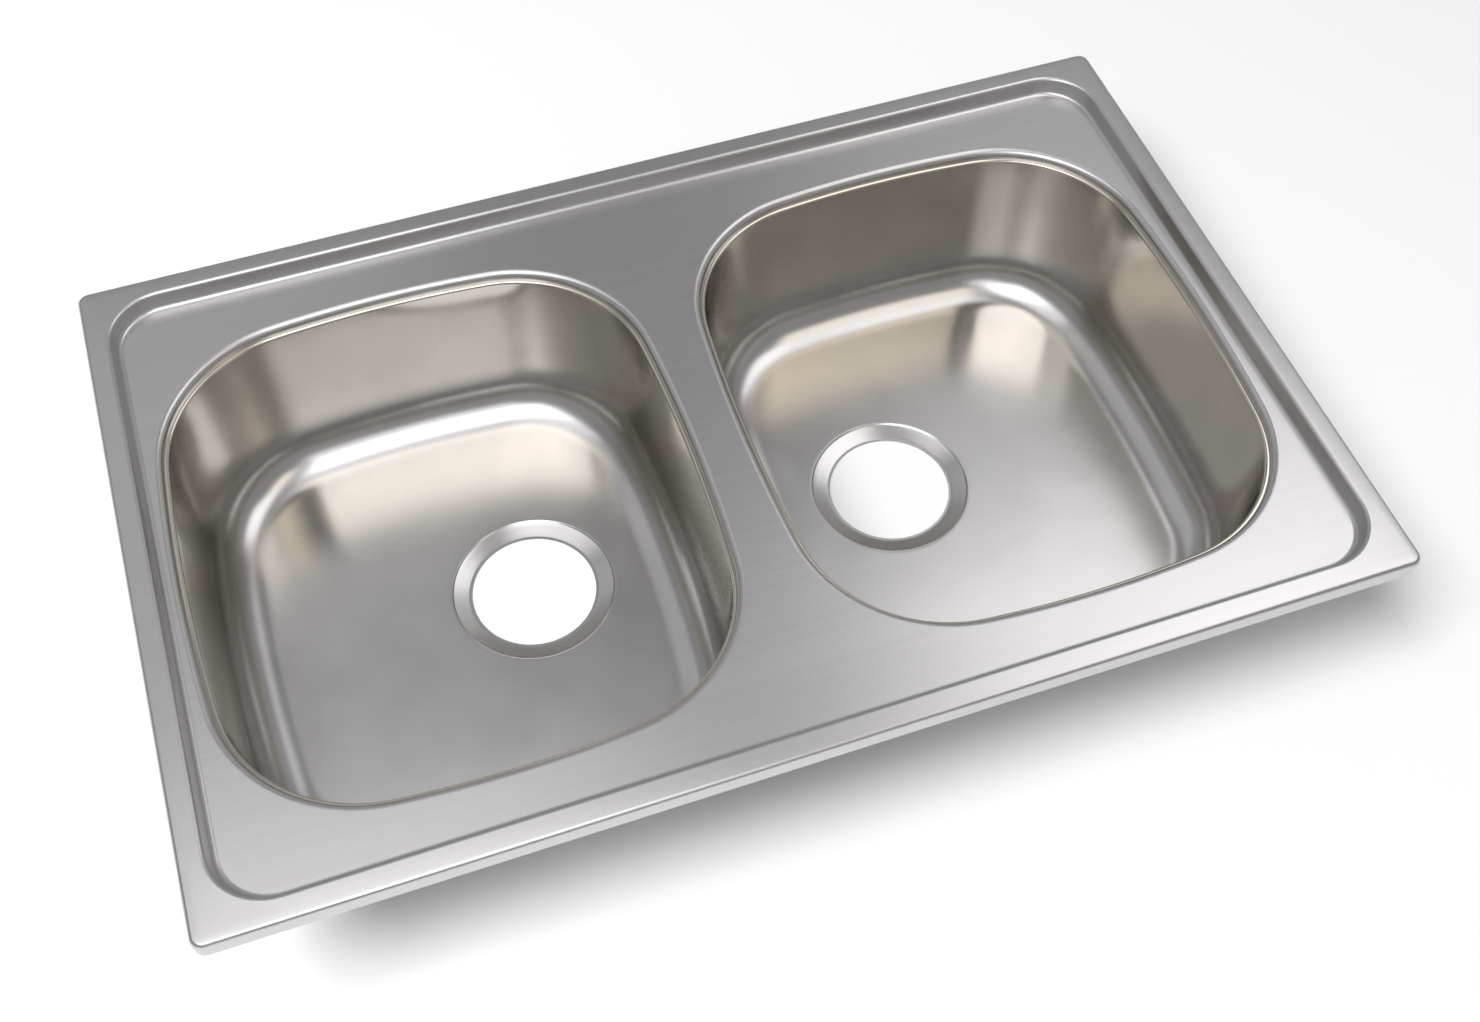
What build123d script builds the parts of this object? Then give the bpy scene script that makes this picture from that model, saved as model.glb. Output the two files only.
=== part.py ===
# Double bowl inset kitchen sink in pressed stainless steel.
# One deck with a raised rim carries two drawn bowls, welded under its openings.
# Eight clamps under the rim grip the worktop: bracket, weld nut, screw, claw and ring each.
# Millimetres. X runs along the sink, Y to its back edge, Z up.
# The origin lies under the middle of the rim, on the plane that the drain recesses stand on.

import os
from math import atan2, cos, hypot, radians, sin, sqrt, tan

from build123d import *

os.makedirs("parts", exist_ok=True)

# deck
overall_length = 780.0
overall_width = 500.0
sheet = 0.8                  # thickness of the deck and of both bowls
rim_height = 13.0            # turned-down edge, top face to bottom edge
rim_corner_radius = 8.0      # plan corners of the rim
rim_bend_radius = 3.0        # bend from the rim's top into the turned-down edge
rim_land = 14.0              # outer edge to where the rim begins to bend into the step
step_depth = 12.0            # rim top down to the recessed deck
step_draft = 18.0            # degrees off vertical
step_top_radius = 3.0        # bend at the top of the step
step_foot_radius = 4.0       # bend at its foot
step_corner_radius = 38.0    # plan corners of the step, at the rim's top

# deck openings: four long arcs joined by four corner arcs
end_flat = 1.5               # flat deck between the step's foot and an opening's lip, at the ends
front_flat = 27.0            # the same along the front
back_flat = 33.0             # and along the back
side_arc_radius = 1200.0
end_arc_radius = 800.0
opening_corner_radius = 102.0
divider_width = 37.0         # between the two openings
lip_radius = 5.0             # roll of the deck into an opening
collar_depth = 6.0           # deck top to the lower edge of the turned-down collar

# bowls
bowl_ledge = 3.0             # the bowl's wall stands inside the collar by this much
bowl_edge_radius = 2.0       # roll of the bowl's flange into its wall
flange_reach = 5.0           # the bowl's flange passes outside the collar's inner face
bowl_depth = 148.2           # rim top to the bowl's floor
bowl_draft = 2.7             # degrees off vertical
floor_radius = 32.0          # wall into floor
drain_offset_x = 50.5        # drain centre from the bowl's centre, towards the divider
drain_offset_y = 9.0         # and towards the back
drain_hole_radius = 45.0
drain_seat_width = 2.0       # flat ring around the hole
recess_radius = 59.0
recess_lip_width = 1.2       # short steep wall at the edge of the recess
recess_lip_depth = 1.2
recess_depth = 4.3           # bowl floor to the seat around the hole

# damping pads under the bowl floors
pad_thickness = 2.0
pad_corner_radius = 14.0
pad_clearance = 6.0          # pad edge to the drain recess
pad_outer_margin = 16.0      # pad edge to where the floor bends up, at the sink's end
pad_side_margin = 47.3       # the same at its front and back

# foam strip under the rim
seal_width = 7.0
seal_inner_corner = 1.0

# clamps
cut_out_margin = 10.0        # rim edge to the worktop's cut-out
clamp_to_cut_out = 24.5      # screw axis to the cut-out
long_clamp_offset = 39.5     # front and back clamps, from a bowl's centre towards the divider
end_clamp_reach = 82.0       # clamps on the ends, beyond the centre of an opening's corner arc
strap_width = 16.0
strap_thickness = 1.5
strap_web = 30.0             # between the outsides of the legs
strap_foot = 10.0
strap_bend_radius = 2.5      # outside of a bend
screw_radius = 2.5
screw_travel = 14.0          # how far the screw rises through its nut
screw_tip_past_nut = 1.0     # thread showing above the nut before clamping
screw_tip_clearance = 1.5    # screw tip to the deck when fully risen
running_clearance = 0.05     # radial, screw to nut, claw and ring
strap_hole_clearance = 0.5
nut_flats = 8.0
nut_height = 4.0
head_flats = 8.0
head_height = 3.5
head_flange_radius = 5.0
head_flange_height = 1.0
claw_thickness = 2.0
claw_width = 16.0
claw_grip = 12.0             # reach of the claw under the worktop
claw_tooth_height = 10.0     # base to tooth tip
claw_bend_radius = 3.0       # outside of the bend
claw_tooth_notch = 3.5
thickest_worktop = 40.0
claw_start_gap = 1.3         # below the thickest worktop before clamping
ring_radius = 4.5
ring_thickness = 1.0
axial_clearance = 0.1        # claw to the screw head and to the ring

# slack used while cutting and picking edges, not sizes of the sink
past_end = 10.0              # how far a cutting shape runs past what it cuts
run_in = 1.0                 # how far one joined shape runs into the next
pick_margin = 1.0            # room around an outline when its edges are picked
same_place = 0.01            # two places nearer than this are the same

# heights and places worked out from the sizes above
rim_top = bowl_depth + recess_depth + sheet
deck_top = rim_top - step_depth
deck_underside = deck_top - sheet
rim_bottom = rim_top - rim_height
collar_bottom = deck_top - collar_depth
floor_top = rim_top - bowl_depth
step_bend_turn = radians(90.0 - step_draft)
step_top_run = step_top_radius * tan(step_bend_turn / 2)
step_foot_run = step_foot_radius * tan(step_bend_turn / 2)
step_foot = rim_land + step_top_run + step_depth * tan(radians(step_draft)) + step_foot_run
opening_length_x = (overall_length - divider_width) / 2 - step_foot - end_flat - lip_radius
opening_length_y = overall_width - 2 * (step_foot + lip_radius) - front_flat - back_flat
opening_offset_y = (front_flat - back_flat) / 2
bowl_centre_x = (opening_length_x + divider_width) / 2
wall_run = (collar_bottom - floor_top) * tan(radians(bowl_draft))
floor_bend_run = floor_radius * tan(radians(90.0 - bowl_draft) / 2)
floor_inset = bowl_ledge + wall_run + floor_bend_run
drain_x = bowl_centre_x - drain_offset_x
drain_y = opening_offset_y + drain_offset_y
clamp_inset = cut_out_margin + clamp_to_cut_out
strap_drop = screw_travel + screw_tip_clearance + screw_tip_past_nut + nut_height + strap_thickness
strap_bottom = deck_underside - strap_drop
nut_bottom = strap_bottom + strap_thickness
screw_top = nut_bottom + nut_height + screw_tip_past_nut
claw_length = clamp_to_cut_out + claw_grip
claw_base = rim_bottom - thickest_worktop - claw_start_gap - claw_tooth_height


def at(centre, radius, angle):
    return (centre[0] + radius * cos(angle), centre[1] + radius * sin(angle))


def corner_centre():
    # the point whose corner arc runs smoothly into both long arcs
    side = (opening_length_x / 2 - side_arc_radius, 0.0)
    end = (0.0, opening_length_y / 2 - end_arc_radius)
    to_side = side_arc_radius - opening_corner_radius
    to_end = end_arc_radius - opening_corner_radius
    gap = hypot(end[0] - side[0], end[1] - side[1])
    along = (to_side ** 2 - to_end ** 2 + gap ** 2) / (2 * gap)
    across = sqrt(to_side ** 2 - along ** 2)
    ux = (end[0] - side[0]) / gap
    uy = (end[1] - side[1]) / gap
    return (side[0] + ux * along - uy * across, side[1] + uy * along + ux * across)


def bowl_outline(grow, z):
    # the opening's outline, moved outwards by grow, as a face at height z
    side = (opening_length_x / 2 - side_arc_radius, 0.0)
    end = (0.0, opening_length_y / 2 - end_arc_radius)
    corner = corner_centre()
    side_turn = atan2(corner[1] - side[1], corner[0] - side[0])
    end_turn = atan2(corner[1] - end[1], corner[0] - end[0])
    middle = (side_turn + end_turn) / 2
    side_end = at(side, side_arc_radius + grow, side_turn)
    side_middle = at(side, side_arc_radius + grow, 0.0)
    corner_middle = at(corner, opening_corner_radius + grow, middle)
    end_end = at(end, end_arc_radius + grow, end_turn)
    end_middle = at(end, end_arc_radius + grow, radians(90))

    def flip(point, sx, sy):
        return (point[0] * sx, point[1] * sy)

    arcs = []
    for sx in (1, -1):
        arcs.append(ThreePointArc(flip(side_end, sx, -1), flip(side_middle, sx, 1),
                                  flip(side_end, sx, 1)))
    for sy in (1, -1):
        arcs.append(ThreePointArc(flip(end_end, 1, sy), flip(end_middle, 1, sy),
                                  flip(end_end, -1, sy)))
        for sx in (1, -1):
            arcs.append(ThreePointArc(flip(side_end, sx, sy), flip(corner_middle, sx, sy),
                                      flip(end_end, sx, sy)))
    return Pos(0, 0, z) * make_face(Wire(arcs))


def rounded_plate(length, width, radius, low, high):
    return extrude(Pos(0, 0, low) * RectangleRounded(length, width, radius), high - low)


def turned_bar(radius, low, high):
    return extrude(Pos(0, 0, low) * Circle(radius), high - low)


def edges_at(shape, z, half_x, half_y):
    # edges that lie flat at height z and inside the given half lengths
    found = ShapeList()
    for edge in shape.edges():
        box = edge.bounding_box()
        flat = abs(box.min.Z - z) < same_place and abs(box.max.Z - z) < same_place
        inside = max(abs(box.min.X), abs(box.max.X)) < half_x
        inside = inside and max(abs(box.min.Y), abs(box.max.Y)) < half_y
        if flat and inside:
            found.append(edge)
    return found


def deck_form(under, lowest):
    # everything below a pressed surface; under is how far that surface lies below the top face
    lean = radians(step_draft)
    top = rim_top - under
    floor = deck_top - under
    block = rounded_plate(overall_length - 2 * under, overall_width - 2 * under,
                          rim_corner_radius - under, lowest, top)
    block = fillet(edges_at(block, top, overall_length, overall_width), rim_bend_radius - under)
    shift = under / cos(lean) - under * tan(lean)
    step_inset = rim_land + step_top_run - shift
    step = RectangleRounded(overall_length - 2 * step_inset, overall_width - 2 * step_inset,
                            step_corner_radius + shift)
    pocket = extrude(Pos(0, 0, top) * step, step_depth, dir=(0, 0, -1), taper=step_draft)
    block = block - pocket
    inner_x = overall_length / 2 - step_inset + pick_margin
    inner_y = overall_width / 2 - step_inset + pick_margin
    block = fillet(edges_at(block, top, inner_x, inner_y), step_top_radius - under)
    block = fillet(edges_at(block, floor, inner_x, inner_y), step_foot_radius + under)
    opening = extrude(bowl_outline(under, lowest - past_end), rim_top - lowest + 2 * past_end)
    for side in (-1, 1):
        block = block - Pos(side * bowl_centre_x, opening_offset_y, 0) * opening
    lip_x = bowl_centre_x + opening_length_x / 2 + under + pick_margin
    lip_y = opening_length_y / 2 + abs(opening_offset_y) + under + pick_margin
    return fillet(edges_at(block, floor, lip_x, lip_y), lip_radius - under)


def make_deck():
    lowest = min(rim_bottom, collar_bottom) - past_end
    skin = deck_form(0.0, lowest) - deck_form(sheet, lowest)
    keep_in = rim_bend_radius + sheet
    inner_length = overall_length - 2 * keep_in
    inner_width = overall_width - 2 * keep_in
    under_rim = rounded_plate(overall_length + past_end, overall_width + past_end,
                              rim_corner_radius, lowest - past_end, rim_bottom)
    under_rim = under_rim - rounded_plate(inner_length, inner_width, rim_corner_radius,
                                          lowest - 2 * past_end, rim_top)
    under_collars = rounded_plate(inner_length, inner_width, rim_corner_radius,
                                  lowest - past_end, collar_bottom)
    return skin - under_rim - under_collars


def recess_form(under):
    # turned shape of the drain recess, its surface under below the water side
    lip = recess_radius + under
    seat = drain_hole_radius + drain_seat_width
    points = [
        (0, floor_top + run_in),
        (lip, floor_top + run_in),
        (lip, floor_top - under),
        (lip - recess_lip_width, floor_top - recess_lip_depth - under),
        (seat, floor_top - recess_depth - under),
        (0, floor_top - recess_depth - under),
    ]
    profile = Plane.XZ * make_face(Polyline(points, close=True))
    return Pos(drain_offset_x, drain_offset_y, 0) * revolve(profile, Axis.Z)


def bowl_form(under):
    # everything inside the bowl's surface; under is how far it lies outside the water side
    outline = bowl_outline(under / cos(radians(bowl_draft)) - bowl_ledge, collar_bottom)
    depth = collar_bottom - floor_top + under
    form = extrude(outline, depth, dir=(0, 0, -1), taper=bowl_draft)
    form = fillet(edges_at(form, floor_top - under, opening_length_x, opening_length_y),
                  floor_radius + under)
    return form + recess_form(under)


def make_left_bowl():
    flange = extrude(bowl_outline(flange_reach, collar_bottom - sheet), sheet)
    outside = bowl_form(sheet) + flange
    wall_x = opening_length_x / 2 - bowl_ledge + sheet + pick_margin
    wall_y = opening_length_y / 2 - bowl_ledge + sheet + pick_margin
    under_edge = edges_at(outside, collar_bottom - sheet, wall_x, wall_y)
    outside = fillet(under_edge, bowl_edge_radius - sheet)
    bowl = outside - bowl_form(0.0)
    bowl = fillet(edges_at(bowl, collar_bottom, wall_x, wall_y), bowl_edge_radius)
    hole = turned_bar(drain_hole_radius, -past_end, floor_top)
    bowl = bowl - Pos(drain_offset_x, drain_offset_y, 0) * hole
    return Pos(-bowl_centre_x, opening_offset_y, 0) * bowl


def make_left_pad():
    # on the flat of the bowl's floor, between the drain recess and the sink's end
    outer = floor_inset + pad_outer_margin - opening_length_x / 2
    inner = drain_offset_x - recess_radius - sheet - pad_clearance
    width = opening_length_y - 2 * (floor_inset + pad_side_margin)
    pad = rounded_plate(inner - outer, width, pad_corner_radius,
                        floor_top - sheet - pad_thickness, floor_top - sheet)
    return Pos((inner + outer) / 2 - bowl_centre_x, opening_offset_y, 0) * pad


def make_seal():
    outer = rim_bend_radius
    inner = outer + seal_width
    strip = rounded_plate(overall_length - 2 * outer, overall_width - 2 * outer,
                          rim_corner_radius - outer, rim_bottom, rim_top - sheet)
    return strip - rounded_plate(overall_length - 2 * inner, overall_width - 2 * inner,
                                 seal_inner_corner, rim_bottom - past_end, rim_top)


# The clamp's pieces stand round the screw axis at x = y = 0, with +X towards the rim's edge.

def screw_hole(clearance):
    # a hole for the screw, long enough for any of the clamp's pieces
    return turned_bar(screw_radius + clearance, 0, rim_top)


def hexagon_bar(flats, low, high):
    return extrude(Pos(0, 0, low) * RegularPolygon(flats / 2, 6, major_radius=False), high - low)


def strap_edges(strap, y, z):
    # the two edges across the strap at height z, y to either side of the screw
    return [edge for edge in strap.edges().filter_by(Axis.X)
            if abs(abs(edge.center().Y) - y) < same_place
            and abs(edge.center().Z - z) < same_place]


def make_strap():
    leg_outside = strap_web / 2
    leg_inside = leg_outside - strap_thickness
    foot_end = leg_outside + strap_foot
    foot_bottom = deck_underside - strap_thickness
    web_top = strap_bottom + strap_thickness
    points = [
        (-foot_end, deck_underside), (-leg_inside, deck_underside), (-leg_inside, web_top),
        (leg_inside, web_top), (leg_inside, deck_underside), (foot_end, deck_underside),
        (foot_end, foot_bottom), (leg_outside, foot_bottom), (leg_outside, strap_bottom),
        (-leg_outside, strap_bottom), (-leg_outside, foot_bottom), (-foot_end, foot_bottom),
    ]
    profile = Plane.YZ * make_face(Polyline(points, close=True))
    strap = extrude(profile, strap_width / 2, both=True)
    inside_bends = strap_edges(strap, leg_inside, web_top)
    inside_bends += strap_edges(strap, leg_outside, foot_bottom)
    strap = fillet(inside_bends, strap_bend_radius - strap_thickness)
    outside_bends = strap_edges(strap, leg_outside, strap_bottom)
    outside_bends += strap_edges(strap, leg_inside, deck_underside)
    strap = fillet(outside_bends, strap_bend_radius)
    return strap - screw_hole(strap_hole_clearance)


def make_nut():
    nut = hexagon_bar(nut_flats, nut_bottom, nut_bottom + nut_height)
    return nut - screw_hole(running_clearance)


def make_screw():
    head_top = claw_base - claw_thickness - axial_clearance
    flange_bottom = head_top - head_flange_height
    screw = turned_bar(screw_radius, head_top, screw_top)
    screw = chamfer(screw.edges().group_by(Axis.Z)[-1], screw_radius / 4)
    screw = screw + turned_bar(head_flange_radius, flange_bottom, head_top)
    return screw + hexagon_bar(head_flats, flange_bottom - head_height, flange_bottom)


def make_ring():
    low = claw_base + axial_clearance
    return turned_bar(ring_radius, low, low + ring_thickness) - screw_hole(running_clearance)


def claw_edge(claw, x, z):
    # the edge across the claw at distance x from the screw and height z
    return [edge for edge in claw.edges().filter_by(Axis.Y)
            if abs(edge.center().X - x) < same_place and abs(edge.center().Z - z) < same_place]


def make_claw():
    # drawn gripping, towards +X
    half = claw_width / 2
    tip = claw_base + claw_tooth_height
    low = claw_base - claw_thickness
    round_end = turned_bar(half, low, claw_base)
    arm = Pos(claw_length / 2, 0, (low + claw_base) / 2) * Box(
        claw_length, claw_width, claw_thickness)
    tooth = Pos(claw_length - claw_thickness / 2, 0, (low + tip) / 2) * Box(
        claw_thickness, claw_width, tip - low)
    claw = round_end + arm + tooth
    claw = fillet(claw_edge(claw, claw_length - claw_thickness, claw_base),
                  claw_bend_radius - claw_thickness)
    claw = fillet(claw_edge(claw, claw_length, low), claw_bend_radius)
    for y in (-half, 0, half):
        notch = Polyline((y - claw_tooth_notch, tip), (y, tip - claw_tooth_notch),
                         (y + claw_tooth_notch, tip), (y, tip + claw_tooth_notch), close=True)
        claw = claw - extrude(Plane.YZ * make_face(notch), claw_length + past_end)
    return claw - screw_hole(running_clearance)


# Where the clamps stand: name, place, the way out to the rim in degrees, and the side
# that the claw is parked on, seen along that way out (1 left, -1 right).
long_edge_x = bowl_centre_x - long_clamp_offset
long_edge_y = overall_width / 2 - clamp_inset
end_edge_x = overall_length / 2 - clamp_inset
end_reach_y = corner_centre()[1] + end_clamp_reach
front_clamp_y = opening_offset_y - end_reach_y
back_clamp_y = opening_offset_y + end_reach_y
clamp_stations = [
    ("front_left", -long_edge_x, -long_edge_y, -90, 1),
    ("front_right", long_edge_x, -long_edge_y, -90, -1),
    ("right_front", end_edge_x, front_clamp_y, 0, -1),
    ("right_back", end_edge_x, back_clamp_y, 0, 1),
    ("back_right", long_edge_x, long_edge_y, 90, 1),
    ("back_left", -long_edge_x, long_edge_y, 90, -1),
    ("left_back", -end_edge_x, back_clamp_y, 180, -1),
    ("left_front", -end_edge_x, front_clamp_y, 180, 1),
]


def write(name, shape):
    export_step(shape, "parts/" + name + ".step")


def main():
    left_bowl = make_left_bowl()
    left_pad = make_left_pad()
    write("deck_panel", make_deck())
    write("left_bowl", left_bowl)
    write("right_bowl", mirror(left_bowl, about=Plane.YZ))
    write("left_sound_pad", left_pad)
    write("right_sound_pad", mirror(left_pad, about=Plane.YZ))
    write("rim_seal", make_seal())
    strap = make_strap()
    nut = make_nut()
    screw = make_screw()
    ring = make_ring()
    claw = make_claw()
    nuts = []
    for name, x, y, way_out, parked in clamp_stations:
        station = Pos(x, y, 0) * Rot(0, 0, way_out)
        write("bracket_" + name, station * strap)
        write("screw_" + name, station * screw)
        write("ring_" + name, station * ring)
        write("claw_" + name, station * Rot(0, 0, 90 * parked) * claw)
        nuts.append(station * nut)
    write("weld_nuts", Compound(nuts))


main()
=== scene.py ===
from math import atan2, cos, degrees, pi, radians, sin, sqrt, tan

import bpy
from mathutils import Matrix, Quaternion, Vector


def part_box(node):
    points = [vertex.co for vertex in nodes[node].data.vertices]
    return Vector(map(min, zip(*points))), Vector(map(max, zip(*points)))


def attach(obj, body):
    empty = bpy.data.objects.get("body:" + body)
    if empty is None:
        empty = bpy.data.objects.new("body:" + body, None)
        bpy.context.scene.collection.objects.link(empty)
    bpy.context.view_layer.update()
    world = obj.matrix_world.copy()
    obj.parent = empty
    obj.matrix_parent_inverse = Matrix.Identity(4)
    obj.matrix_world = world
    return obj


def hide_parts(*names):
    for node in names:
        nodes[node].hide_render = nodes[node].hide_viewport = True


# Pressed stainless steel double bowl sink on a pale studio floor.
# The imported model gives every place. The pressed sheets, pads, strip and screws are modelled
# again here with their bends, threads and embossing; the other clamp parts are dressed as packed.

mm = 0.001  # sizes here are in millimetres and angles in degrees, unless a note says otherwise
fineReach = 0.002  # points this near are welded in a drawn line and in the thread
weldReach = 0.005  # and this near in a shell that was swept or mirrored
mirrorReach = 0.02  # points this near to a mirror's plane meet on it
levelReach = 0.05  # points this near to a level lie on it

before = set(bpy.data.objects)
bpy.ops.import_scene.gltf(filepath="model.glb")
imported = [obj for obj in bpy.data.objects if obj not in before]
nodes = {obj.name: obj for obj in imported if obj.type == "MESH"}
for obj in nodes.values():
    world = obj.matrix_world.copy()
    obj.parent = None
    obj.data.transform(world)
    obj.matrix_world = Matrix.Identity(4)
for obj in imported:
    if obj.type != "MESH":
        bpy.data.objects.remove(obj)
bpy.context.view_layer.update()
scene = bpy.context.scene
scene.view_settings.view_transform = "Standard"
print("frame loaded,", len(nodes), "nodes")


def boxOf(name):
    low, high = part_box(name)
    return Vector(low) / mm, Vector(high) / mm


def selectOnly(piece):
    if bpy.context.mode != "OBJECT":
        bpy.ops.object.mode_set(mode="OBJECT")
    bpy.ops.object.select_all(action="DESELECT")
    if piece:
        piece.select_set(True)
        bpy.context.view_layer.objects.active = piece


def openPiece(piece):
    selectOnly(piece)
    bpy.ops.object.mode_set(mode="EDIT")
    bpy.ops.mesh.select_mode(type="VERT")


def pickOpenEdges(piece, wanted):
    # selects the open edges whose points the test wants, and leaves edit mode open
    openPiece(piece)
    bpy.ops.mesh.select_all(action="DESELECT")
    bpy.ops.mesh.select_non_manifold(extend=False, use_wire=False, use_multi_face=False,
                                     use_non_contiguous=False, use_verts=False)
    bpy.ops.object.mode_set(mode="OBJECT")
    points = piece.data.vertices
    chosen = [point.index for point in points if point.select and wanted(point.co / mm)]
    openPiece(piece)
    bpy.ops.mesh.select_all(action="DESELECT")
    bpy.ops.object.mode_set(mode="OBJECT")
    for index in chosen:
        piece.data.vertices[index].select = True
    bpy.ops.object.mode_set(mode="EDIT")


def pickFaces(piece, wanted):
    openPiece(piece)
    bpy.ops.mesh.select_mode(type="FACE")
    bpy.ops.mesh.select_all(action="DESELECT")
    bpy.ops.object.mode_set(mode="OBJECT")
    for face in piece.data.polygons:
        face.select = wanted(face)
    bpy.ops.object.mode_set(mode="EDIT")


def looksDown(face):
    # straight down, so that a bevel's sloping faces don't count
    return face.normal.z < -0.99


def startLine(name, x, z):
    # a mesh of one point in the plane y = 0, open in edit mode, ready to be drawn out
    selectOnly(None)
    bpy.ops.mesh.primitive_plane_add(size=mm)
    piece = bpy.context.object
    piece.name = name
    openPiece(piece)
    bpy.ops.mesh.select_all(action="SELECT")
    bpy.ops.mesh.merge(type="CENTER")
    bpy.ops.transform.translate(value=(x * mm, 0.0, z * mm))
    return piece


def startBlock(name, low, high):
    # a cube made to fill the box from low to high, open in edit mode
    selectOnly(None)
    bpy.ops.mesh.primitive_cube_add(size=1.0)
    piece = bpy.context.object
    piece.name = name
    openPiece(piece)
    bpy.ops.mesh.select_all(action="SELECT")
    bpy.ops.transform.resize(value=(high - low) * mm)
    bpy.ops.transform.translate(value=(low + high) / 2 * mm)
    return piece


def weldPoints(reach):
    bpy.ops.mesh.select_all(action="SELECT")
    bpy.ops.mesh.remove_doubles(threshold=reach * mm)
    bpy.ops.mesh.select_all(action="SELECT")


def drawProfile(name, corners, bendStep=6.0, runStep=12.0):
    # a line in the plane y = 0 through corners of (x, z, bend radius), left selected in edit mode;
    # bends are stepped by about bendStep degrees, and straights by about runStep
    piece = startLine(name, corners[0][0], corners[0][1])
    here = Vector(corners[0][:2])
    for index in range(1, len(corners)):
        corner = Vector(corners[index][:2])
        radius = corners[index][2]
        came = (corner - Vector(corners[index - 1][:2])).normalized()
        stop = corner
        if radius:
            leaves = (Vector(corners[index + 1][:2]) - corner).normalized()
            turn = atan2(came.x * leaves.y - came.y * leaves.x, came.dot(leaves))
            stop = corner - came * radius * tan(abs(turn) / 2)
        runs = max(1, round((stop - here).length / runStep))
        step = (stop - here) / runs * mm
        for count in range(runs):
            bpy.ops.mesh.extrude_vertices_move(
                TRANSFORM_OT_translate={"value": (step.x, 0.0, step.y)})
        here = stop
        if radius:
            middle = here + Vector((-came.y, came.x)) * radius * (1 if turn > 0 else -1)
            bpy.ops.mesh.spin(steps=max(2, round(abs(degrees(turn)) / bendStep)), angle=turn,
                              center=(middle.x * mm, 0.0, middle.y * mm), axis=(0, 1, 0))
            here = corner + leaves * radius * tan(abs(turn) / 2)
    weldPoints(fineReach)
    return piece


def turnEdges(centre, turn, steps):
    # sweeps the selected line anticlockwise about a vertical axis, which spin counts as negative
    bpy.ops.mesh.spin(steps=steps, angle=-turn, axis=(0, 0, 1),
                      center=(centre[0] * mm, centre[1] * mm, 0.0))


def pushEdges(x, y, steps):
    for count in range(steps):
        bpy.ops.mesh.extrude_edges_move(
            TRANSFORM_OT_translate={"value": (x * mm / steps, y * mm / steps, 0.0)})


def applyModifier(piece, kind, **settings):
    selectOnly(piece)
    modifier = piece.modifiers.new(kind.lower(), kind)
    for name, value in settings.items():
        setattr(modifier, name, value)
    bpy.ops.object.modifier_apply(modifier=modifier.name)


def mirrorQuarter(piece):
    # the quarter drawn at +X +Y becomes the whole
    applyModifier(piece, "MIRROR", use_axis=(True, True, False), merge_threshold=mirrorReach * mm)
    openPiece(piece)
    weldPoints(weldReach)


def joinPieces(pieces):
    selectOnly(None)
    for piece in pieces:
        piece.select_set(True)
    bpy.context.view_layer.objects.active = pieces[0]
    bpy.ops.object.join()
    return pieces[0]


def copyPiece(piece, name):
    selectOnly(piece)
    bpy.ops.object.duplicate(linked=False)
    twin = bpy.context.object
    twin.name = name
    return twin


def movePoints(piece, x, y):
    openPiece(piece)
    bpy.ops.mesh.select_all(action="SELECT")
    bpy.ops.transform.translate(value=(x * mm, y * mm, 0.0))
    bpy.ops.object.mode_set(mode="OBJECT")


def turnFaces(piece, outward):
    # all faces turned one way, and then over if the test finds that most of them look in
    openPiece(piece)
    bpy.ops.mesh.select_all(action="SELECT")
    bpy.ops.mesh.normals_make_consistent(inside=False)
    bpy.ops.object.mode_set(mode="OBJECT")
    if sum(face.area * outward(face) for face in piece.data.polygons) < 0:
        openPiece(piece)
        bpy.ops.mesh.select_all(action="SELECT")
        bpy.ops.mesh.flip_normals()
        bpy.ops.object.mode_set(mode="OBJECT")


def faceOut(piece):
    # for a closed piece, whose faces together measure its volume
    turnFaces(piece, lambda face: face.normal.dot(face.center))


def thicken(shell, sheet):
    # the drawn face is the sheet's upper one, and the wall grows below it
    turnFaces(shell, lambda face: face.normal.z)
    applyModifier(shell, "SOLIDIFY", thickness=sheet * mm, offset=-1.0, use_even_offset=True)


def finishPiece(piece, node, body, material, smoothTo=35.0):
    # edges up to smoothTo degrees are shaded round
    selectOnly(piece)
    bpy.ops.object.shade_smooth_by_angle(angle=radians(smoothTo))
    piece.data.name = piece.name
    piece.data.materials.clear()
    piece.data.materials.append(material)
    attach(piece, body)
    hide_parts(node)


def linearColor(hexText):
    # sRGB hex to the linear values that the nodes take
    channels = []
    for start in (0, 2, 4):
        value = int(hexText[start:start + 2], 16) / 255
        channels.append(value / 12.92 if value <= 0.04045 else ((value + 0.055) / 1.055) ** 2.4)
    return (*channels, 1.0)


def clearTree(owner):
    # the node tree of a new material or world, emptied
    owner.use_nodes = True
    owner.node_tree.nodes.clear()
    return owner.node_tree


def addNode(tree, kind, inputs=None, **settings):
    # one node with its settings; each input is a plain value or the socket that feeds it
    node = tree.nodes.new(kind)
    for name, value in settings.items():
        setattr(node, name, value)
    for name, value in (inputs or {}).items():
        if isinstance(value, bpy.types.NodeSocket):
            tree.links.new(value, node.inputs[name])
        else:
            node.inputs[name].default_value = value
    return node


noiseSpan = {"From Min": 0.2, "From Max": 0.8}  # nearly all values of a noise pattern lie in it


def startFinish(name):
    # a new material, its tree, and the place on the object that its patterns follow
    material = bpy.data.materials.new(name)
    tree = clearTree(material)
    return material, tree, addNode(tree, "ShaderNodeTexCoord").outputs["Object"]


def layPatterns(tree, place, patterns):
    # noise by name, each with grains of its own lengths along x, y and z
    laid = {}
    for name, pattern in patterns.items():
        stretched = addNode(tree, "ShaderNodeMapping", {
            "Vector": place, "Scale": [1 / (length * mm) for length in pattern["mm"]]})
        noise = addNode(tree, "ShaderNodeTexNoise", {
            "Vector": stretched.outputs["Vector"], "Scale": 1.0, "Detail": pattern["detail"],
            "Roughness": pattern.get("roughness", 0.5)})
        laid[name] = noise.outputs["Fac"]
    return laid


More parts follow.
